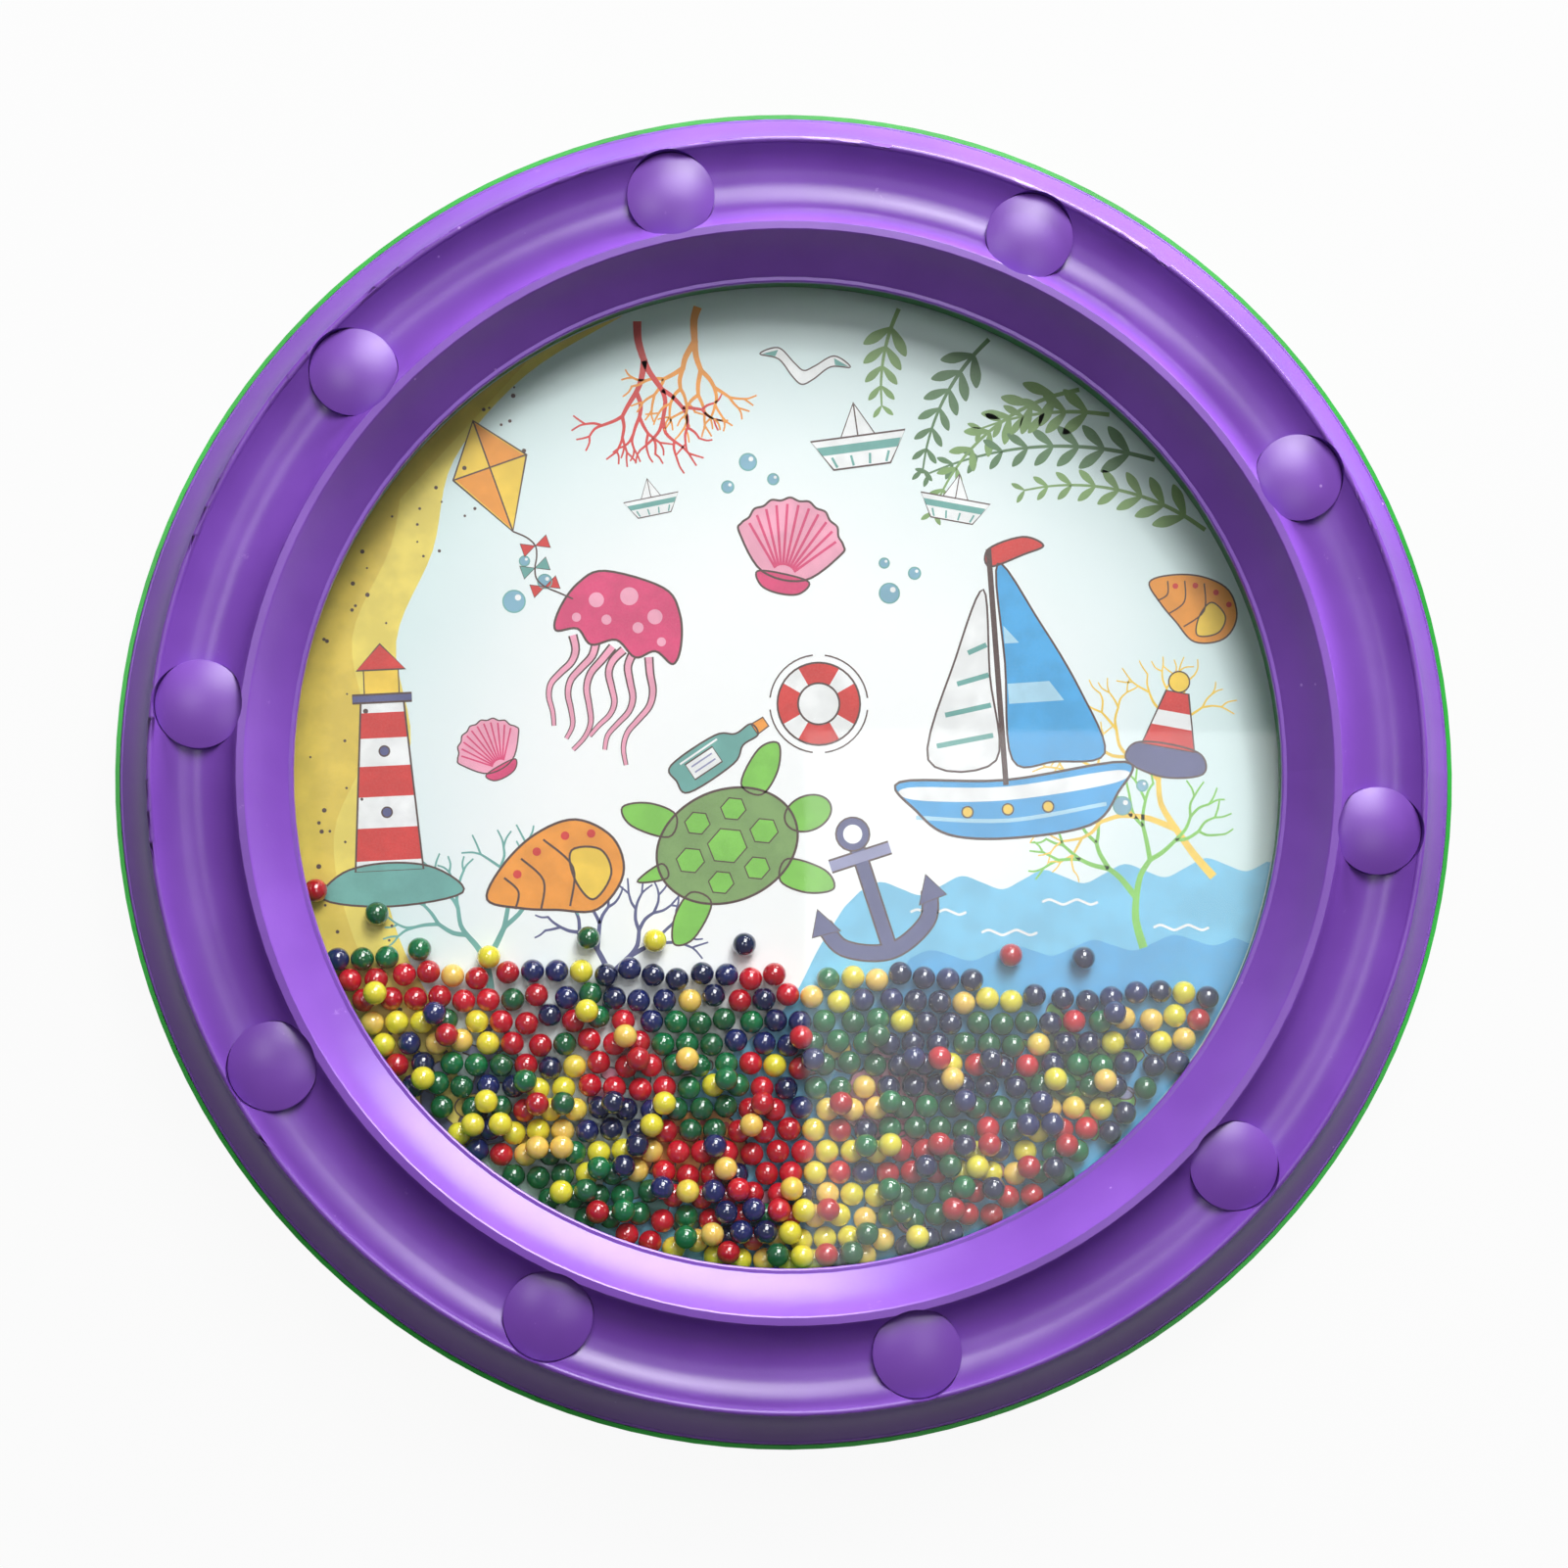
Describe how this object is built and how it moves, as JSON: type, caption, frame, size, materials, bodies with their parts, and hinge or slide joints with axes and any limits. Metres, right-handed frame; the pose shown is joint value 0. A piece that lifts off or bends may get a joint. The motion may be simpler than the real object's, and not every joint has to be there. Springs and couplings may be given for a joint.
{
  "type": "ocean drum",
  "caption": "Round hand-held drum with a clear window, a printed back and loose beads that roll inside with a sound like surf.",
  "frame": {"origin": "centre of the circle on which the back frame's crest rests", "axes": "+Z along the drum's axis, out of the clear window; +Y up in the picture; +X to its right"},
  "size_m": [0.26, 0.26, 0.036],
  "materials": {
    "purple_plastic": "glossy moulded plastic",
    "green_plastic": "glossy moulded plastic",
    "clear_sheet": "clear polished sheet",
    "ring_plastic": "satin moulded plastic",
    "printed_film": "printed paper-like film",
    "white_plate": "plain sheet",
    "steel": "zinc-plated",
    "red_bead": "translucent, glossy",
    "yellow_bead": "translucent, glossy",
    "green_bead": "translucent, glossy",
    "blue_bead": "translucent, glossy"
  },
  "bodies": {
    "drum": {"front_frame": "purple_plastic", "back_frame": "green_plastic", "front_window": "clear_sheet", "chamber_ring": "ring_plastic", "sea_print": "printed_film", "back_plate": "white_plate", "cap_1": "purple_plastic", "cap_2": "purple_plastic", "cap_3": "purple_plastic", "cap_4": "purple_plastic", "cap_5": "purple_plastic", "cap_6": "purple_plastic", "cap_7": "purple_plastic", "cap_8": "purple_plastic", "cap_9": "purple_plastic", "cap_10": "purple_plastic", "screw_1": "steel", "screw_2": "steel", "screw_3": "steel", "screw_4": "steel", "screw_5": "steel", "screw_6": "steel", "screw_7": "steel", "screw_8": "steel", "screw_9": "steel", "screw_10": "steel"},
    "bead_heap": {"red_beads": "red_bead", "yellow_beads": "yellow_bead", "green_beads": "green_bead", "blue_beads": "blue_bead"},
    "stray_1": {"loose_bead_1": "blue_bead"},
    "stray_2": {"loose_bead_2": "yellow_bead"},
    "stray_3": {"loose_bead_3": "green_bead"},
    "stray_4": {"loose_bead_4": "red_bead"},
    "stray_5": {"loose_bead_5": "blue_bead"},
    "stray_6": {"loose_bead_6": "green_bead"},
    "stray_7": {"loose_bead_7": "red_bead"}
  },
  "joints": [
    {"name": "heap_turn", "type": "hinge", "parent": "drum", "child": "bead_heap", "pos_m": [0, 0, 0.018], "axis": [0, 0, 1], "continuous": true},
    {"name": "bead_roll_1", "type": "hinge", "parent": "bead_heap", "child": "stray_1", "pos_m": [0, 0, 0.018], "axis": [0, 0, 1], "range_deg": [-335, 0]},
    {"name": "bead_roll_2", "type": "hinge", "parent": "bead_heap", "child": "stray_2", "pos_m": [0, 0, 0.018], "axis": [0, 0, 1], "range_deg": [-287, 0]},
    {"name": "bead_roll_3", "type": "hinge", "parent": "bead_heap", "child": "stray_3", "pos_m": [0, 0, 0.018], "axis": [0, 0, 1], "range_deg": [-263, 0]},
    {"name": "bead_roll_4", "type": "hinge", "parent": "bead_heap", "child": "stray_4", "pos_m": [0, 0, 0.018], "axis": [0, 0, 1], "range_deg": [0, 253]},
    {"name": "bead_roll_5", "type": "hinge", "parent": "bead_heap", "child": "stray_5", "pos_m": [0, 0, 0.018], "axis": [0, 0, 1], "range_deg": [0, 238]},
    {"name": "bead_roll_6", "type": "hinge", "parent": "bead_heap", "child": "stray_6", "pos_m": [0, 0, 0.018], "axis": [0, 0, 1], "range_deg": [-224, 0]},
    {"name": "bead_roll_7", "type": "hinge", "parent": "bead_heap", "child": "stray_7", "pos_m": [0, 0, 0.018], "axis": [0, 0, 1], "range_deg": [-217, 0]}
  ]
}
